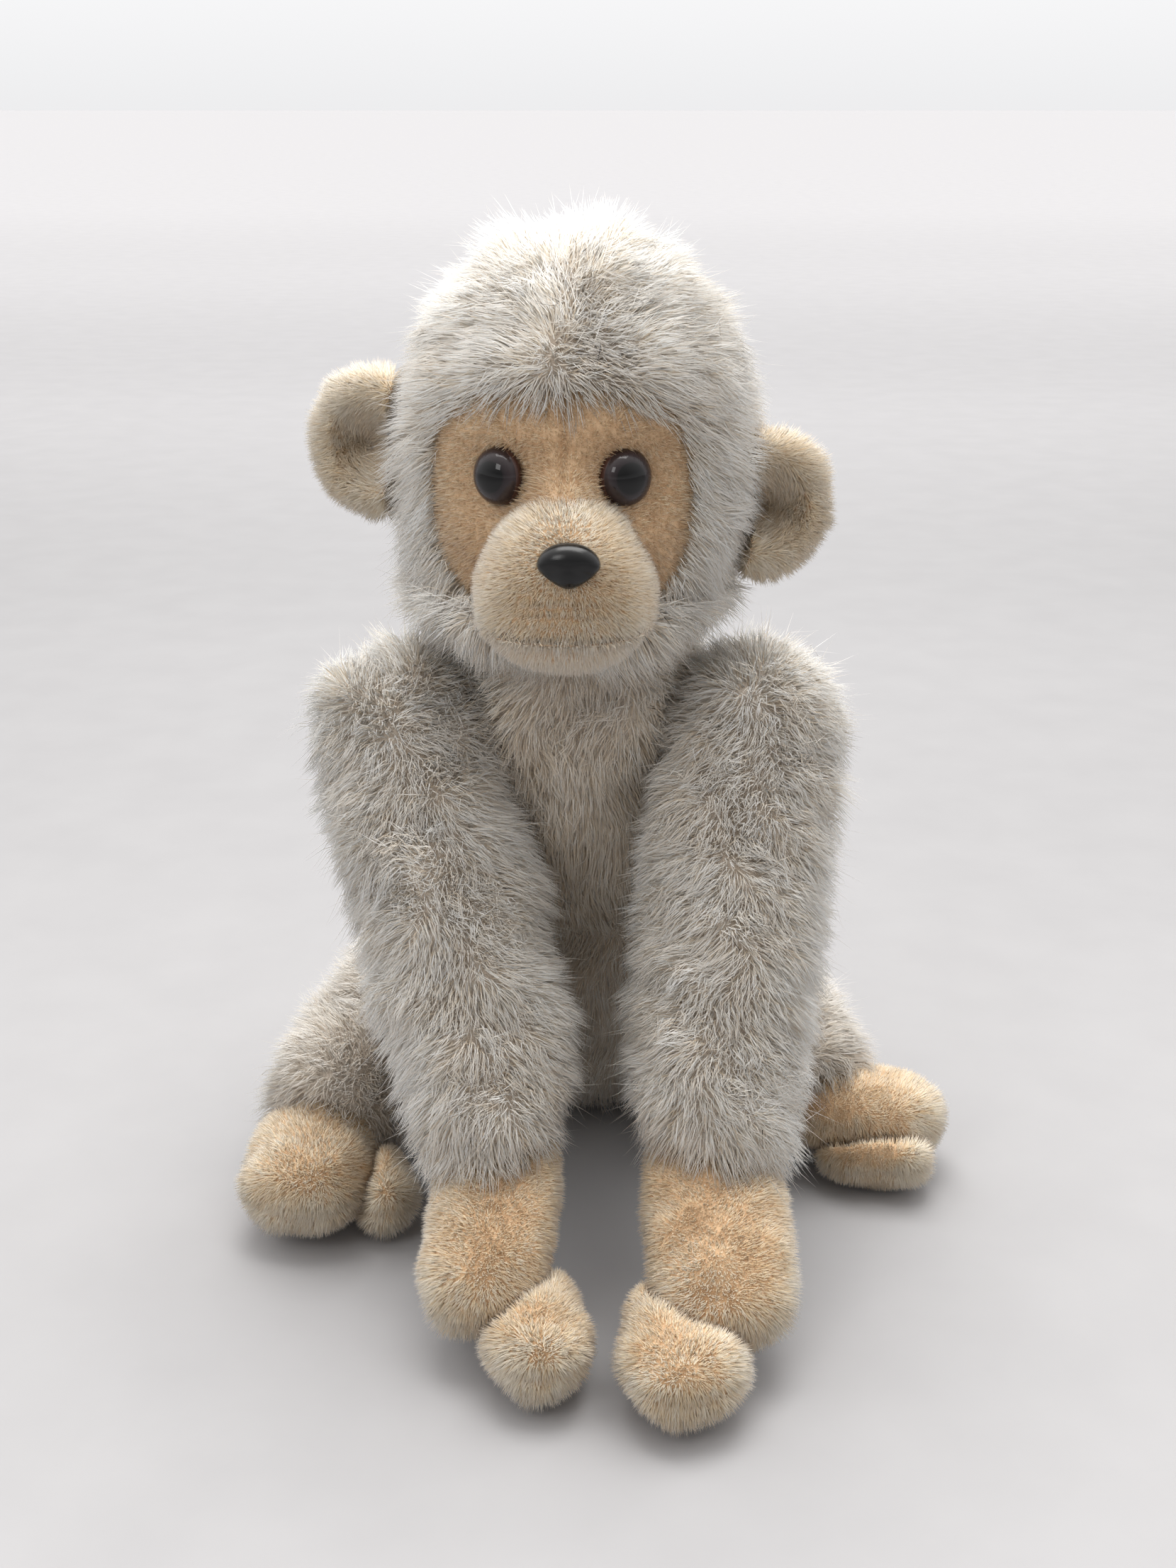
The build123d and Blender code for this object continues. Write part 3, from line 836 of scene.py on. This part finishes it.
def torso_core():
    """The torso's backing, from its sections."""
    heights, middles, widths, depths = (np.array(column, float) * MM for column in zip(*TORSO))
    angles = full_turn(AROUND)
    rings = []
    for share in np.linspace(0, 1, 60):
        height = heights[-1] * (0.5 - 0.5 * math.cos(math.pi * share))
        middle = smooth_curve(heights, middles, height)
        width = smooth_curve(heights, widths, height) - LONG_SINK
        depth = smooth_curve(heights, depths, height) - LONG_SINK
        level = LONG_SINK * 0.5 + height * (1 - LONG_SINK / heights[-1])
        rings.append([(width * math.cos(a), middle + depth * math.sin(a), level) for a in angles])
    core = closed_rings("torso_backing", rings)
    push(core, 1.3 * MM * ripple(coordinates(core), 24 * MM, 21))
    return core


def torso_comb(points, normals):
    """Fur that falls down the body, swirling a little on the belly."""
    return np.array((0.0, 0.0, -1.0)) + 0.7 * wander(points, 30 * MM, 31)


def limb_core(name, start, end, radii, seed, slant):
    """An arm or leg: a round root, a soft barrel and a blunt cuff that ends lower on one side."""
    length = np.linalg.norm(end - start)
    axis = (end - start) / length
    level = unit(np.cross((0, 0, 1.0), axis))
    upward = np.cross(axis, level)
    angles = full_turn(AROUND_SMALL)
    root, cuff = radii[0] - LONG_SINK, radii[1] - LONG_SINK
    stations = [(-root * math.cos(t), root * math.sin(t)) for t in np.linspace(0.08, math.pi / 2, 14)]
    barrel = 0.86
    for share in np.linspace(0.04, barrel, 34):
        swell = 1 + 0.05 * math.sin(math.pi * share)
        stations.append((share * length, (root + (cuff - root) * share) * swell))
    blunt = length * (1 - barrel) + 1.0 * MM
    for t in np.linspace(0.15, 1.5, 12):
        stations.append((barrel * length + blunt * math.sin(t), cuff * math.cos(t) ** 0.6))
    rings = []
    for reach, radius in stations:
        late = max(0.0, reach / length - 0.5) * 2
        rings.append([start + axis * (reach + slant * late * math.cos(a) * radius / cuff)
                      + (level * math.cos(a) + upward * math.sin(a)) * radius for a in angles])
    core = closed_rings(name, rings)
    push(core, 1.1 * MM * ripple(coordinates(core), 20 * MM, seed))
    return core


def limb_comb(start, end, seed):
    """Fur that runs down a limb towards its cuff."""
    axis = unit(end - start)

    def comb(points, normals):
        return axis + 0.55 * wander(points, 26 * MM, seed)

    return comb


def make_torso():
    """The torso with its fur."""
    core = torso_core()
    # Fibres facing the front take darker tones: painted shade under the head and arms, together with some of
    # the belly's own dirt.
    long_pile("torso_pile", core, "torso", 36000, torso_comb, 41,
              pale=lambda points, normals: 1.6 * np.clip(normals[:, 1], -1, 0))
    dress(core, "torso", long_backing,
          ("torso_front", "torso_back_left", "torso_back_right"))


def make_limb(kind, root_joint, end_joint, radii, count, seed, side):
    """One arm or leg with its fur."""
    start, end = pivot(f"{root_joint}_{side}"), pivot(f"{end_joint}_{side}")
    slant = {"arm": ARM_CUFF_SLANT, "leg": 0.0}[kind] * (1 if side == "left" else -1)
    core = limb_core(f"{kind}_backing_{side}", start, end, radii, seed, slant)
    # The legs take the darker tones: painted shade on the same fur as the arms.
    long_pile(f"{kind}_pile_{side}", core, f"{kind}_{side}", count, limb_comb(start, end, seed), seed,
              materials=SHADED_LEG_TONES if kind == "leg" else LONG_TONES)
    dress(core, f"{kind}_{side}", long_backing, (f"{kind}_{side}",))


# ---------------------------------------------------------------- hands and feet

def own_axes(points):
    """A padded lobe's centre, its long direction and the direction of its thickness."""
    centre = points.mean(axis=0)
    spread = np.linalg.svd(points - centre, full_matrices=False)[2]
    axis = spread[0] if spread[0][1] < 0 else -spread[0]
    level = unit(np.cross((0, 0, 1.0), axis))
    return centre, axis, np.cross(axis, level)


def start_lobe(name, nodes, rounds, inset):
    """A lobe's skin ready to be blown up: its side seam is held."""
    core = remeshed(name, nodes, 2.6 * MM)
    relax(core, rounds)
    push(core, -inset)
    points = coordinates(core)
    centre, axis, upward = own_axes(points)
    seam = np.abs((points - centre) @ upward) < 1.6 * MM
    group = core.vertex_groups.new(name="seam")
    group.add([int(i) for i in np.flatnonzero(seam)], 1.0, "REPLACE")
    return core


def blow_up(cores):
    """Cloth skins swell under pressure from inside, held along their seams."""
    rests = [coordinates(core) for core in cores]
    for core in cores:
        cloth = core.modifiers.new("cloth", "CLOTH")
        settings = cloth.settings
        settings.quality = 6
        settings.mass = 0.15
        settings.tension_stiffness = 12
        settings.compression_stiffness = 12
        settings.shear_stiffness = 5
        settings.bending_stiffness = 0.8
        settings.use_pressure = True
        settings.uniform_pressure_force = 4
        settings.effector_weights.gravity = 0
        settings.vertex_group_mass = "seam"
        settings.pin_stiffness = 0.9
        cloth.point_cache.frame_start = 1
        cloth.point_cache.frame_end = CLOTH_FRAMES
    for number in range(1, CLOTH_FRAMES + 1):
        bpy.context.scene.frame_set(number)
    for core, rest in zip(cores, rests):
        apply_modifiers(core)
        moved = coordinates(core) - rest
        size = np.linalg.norm(moved, axis=1, keepdims=True)
        moved = moved * np.minimum(1, MOST_SWELL / np.maximum(size, 1e-9))
        set_coordinates(core, rest + moved)
    bpy.context.scene.frame_set(1)


def finish_lobe(core):
    """Subdivides a lobe and draws in its side seam."""
    subdivide(core)
    points = coordinates(core)
    centre, axis, upward = own_axes(points)
    height = (points - centre) @ upward
    push(core, -0.7 * MM * hump(height, 1.0 * MM) + 0.35 * MM * ripple(points, 9 * MM, 51))


def lobe_fashion(core):
    """How plush lies on a lobe: it leans to the tip, and is longer and paler at the tip and the seam."""
    points = coordinates(core)
    centre, axis, upward = own_axes(points)
    far = ((points - centre) @ axis).max()

    def comb(points, normals):
        return np.tile(axis * 0.6, (len(points), 1)) + np.array((0, 0, -0.8))

    def rough(points):
        along = np.clip(((points - centre) @ axis / far - 0.45) / 0.4, 0, 1)
        edge = hump((points - centre) @ upward, 3.2 * MM)
        return np.clip(along + 0.6 * edge, 0, 1) * (1 + 0.3 * ripple(points, 12 * MM, 77))

    return {"comb": comb, "stretch": lambda points, normals: 1 + 0.5 * rough(points),
            "pale": lambda points, normals: 1.3 * rough(points) - 0.4}


# for each lobe: the CAD nodes it is blown up from and those it stands for, its body, its fibres,
# the rounds that even it, and how far it is drawn in before it swells
LOBES = {
    "hand": (("hand_back", "hand_palm", "hand_fill"), ("hand_back", "hand_palm"), "hand", 24000, 5, 1.2 * MM),
    "thumb": (("thumb",), ("thumb",), "hand", 14000, 14, 0.2 * MM),
    "foot": (("foot_top", "foot_sole", "foot_fill"), ("foot_top", "foot_sole"), "foot", 18000, 5, 1.2 * MM),
    "toe": (("big_toe",), ("big_toe",), "foot", 8000, 14, 0.2 * MM),
}


def make_lobes():
    """The mitts, thumbs, feet and big toes."""
    lobes = []
    for name, (sources, stands_for, body, count, rounds, inset) in LOBES.items():
        for side in SIDES:
            core = start_lobe(f"{name}_backing_{side}", [f"{node}_{side}" for node in sources], rounds, inset)
            nodes = [f"{node}_{side}" for node in stands_for]
            lobes.append((core, f"{name}_pile_{side}", f"{body}_{side}", nodes, count))
    blow_up([core for core, *rest in lobes])
    for number, (core, pile, body, nodes, count) in enumerate(lobes):
        finish_lobe(core)
        short_pile(pile, core, body, count, 60 + number, lean=0.3, length=2.9 * MM, **lobe_fashion(core))
        dress(core, body, short_backing, nodes)


# ---------------------------------------------------------------- the inside, the floor, light and camera

def dress_inside():
    """Finishes for the filling and the washers, which keep their CAD shapes."""
    for name, node in frame["nodes"].items():
        if "fill" in name or "washer" in name:
            node.data.materials.clear()
            node.data.materials.append(filling if "fill" in name else washer_plastic)


def make_floor():
    """A wide sheet of pale paper, with painted light and shade: darker near the toy and lighter in the
    distance.
    """
    size = 40.0
    floor = make_mesh("floor", [(-size, -size, 0), (size, -size, 0), (size, size, 0), (-size, size, 0)],
                      [(0, 1, 2, 3)])
    material = mottled("floor_paper", (204, 203, 205), (208, 207, 209), 30, 0.85, 0.05)
    tree = material.node_tree
    shader = tree.nodes["Principled BSDF"]
    mottle = shader.inputs["Base Color"].links[0].from_socket
    where = add_node(tree, "TexCoord").outputs["Object"]
    ahead = add_node(tree, "SeparateXYZ", {"Vector": where}).outputs["Y"]
    away = add_node(tree, "MapRange", {"From Min": -0.5, "From Max": 5.0, "Value": ahead}).outputs["Result"]
    # Painted light and shade: the paper is darkest under the ceiling lamp, just behind the toy, and lighter
    # far away, where the lamps' light falls off, so that the floor meets the room's glow at the horizon.
    levels = ((0.03, 198), (0.14, 182), (0.19, 184), (0.355, 217), (0.63, 236), (1.0, 245))
    shade = add_ramp(tree, away, [(spot, linear(level, level, level)) for spot, level in levels], "EASE")
    blend = add_node(tree, "Mix", {"Factor": 1.0, 6: mottle, 7: shade},
                     data_type="RGBA", blend_type="MULTIPLY")
    feed(tree, shader, {"Base Color": blend.outputs[2]})
    floor.data.materials.append(material)


def area_light(name, place, target, size, power, colour):
    """A soft square light that looks at a target."""
    light = bpy.data.lights.new(name, "AREA")
    light.size = size
    light.energy = power
    light.color = colour
    lamp = bpy.data.objects.new(name, light)
    lamp.location = place
    lamp.rotation_euler = (Vector(target) - Vector(place)).to_track_quat("-Z", "Y").to_euler()
    bpy.context.scene.collection.objects.link(lamp)


def make_light():
    """A bright pale room, brighter overhead and darker in front, with a soft ceiling and window."""
    world = bpy.data.worlds.new("room")
    bpy.context.scene.world = world
    world.use_nodes = True
    tree = world.node_tree
    where = add_node(tree, "TexCoord").outputs["Generated"]
    height = add_node(tree, "SeparateXYZ", {"Vector": where}).outputs["Z"]
    colour = add_ramp(tree, height, ((0.0, (0.86, 0.86, 0.87, 1)), (0.85, (1.0, 0.985, 0.97, 1))))
    glow = add_node(tree, "Math", {0: height, 1: 1.5, 2: 1.0}, operation="MULTIPLY_ADD").outputs["Value"]
    toward = add_node(tree, "VectorMath", {0: where, 1: unit((0.0, -1.0, 0.2))}, operation="DOT_PRODUCT")
    facing = add_node(tree, "MapRange", {"From Min": -0.3, "From Max": 0.85, "To Max": 0.6,
                                         "Value": toward.outputs["Value"]}).outputs["Result"]
    raised = add_node(tree, "MapRange", {"From Max": 0.2, "Value": height}).outputs["Result"]
    dark = add_node(tree, "Math", {0: facing, 1: raised}, operation="MULTIPLY").outputs["Value"]
    lit = add_node(tree, "Math", {0: 1.0, 1: dark}, operation="SUBTRACT").outputs["Value"]
    strength = add_node(tree, "Math", {0: glow, 1: lit}, operation="MULTIPLY").outputs["Value"]
    feed(tree, tree.nodes["Background"], {"Color": colour, "Strength": strength})
    area_light("ceiling", (0.05, 0.2, 1.15), (0, -0.05, 0.1), 0.9, 13.0, (1.0, 0.985, 0.96))
    area_light("window", (-0.5, -0.8, 0.8), (0, -0.06, 0.15), 0.35, 1.6, (1.0, 0.99, 0.98))
    bpy.context.scene.view_settings.view_transform = "Standard"


def make_camera():
    """Looks down a little at the toy's front."""
    camera = bpy.data.objects.new("camera", bpy.data.cameras.new("camera"))
    camera.location = CAMERA_PLACE
    camera.rotation_euler = (CAMERA_TARGET - CAMERA_PLACE).to_track_quat("-Z", "Y").to_euler()
    camera.data.sensor_width = SENSOR_WIDTH
    camera.data.lens = SENSOR_WIDTH / 2 / math.tan(FIELD_OF_VIEW / 2)
    bpy.context.scene.collection.objects.link(camera)
    bpy.context.scene.camera = camera


make_camera()
make_light()
make_floor()
dress_inside()
make_head()
make_torso()
for number, side in enumerate(SIDES):
    make_limb("arm", "shoulder", "wrist", ARM_RADII, 21000, 81 + number, side)
    make_limb("leg", "hip", "ankle", LEG_RADII, 10000, 91 + number, side)
make_lobes()
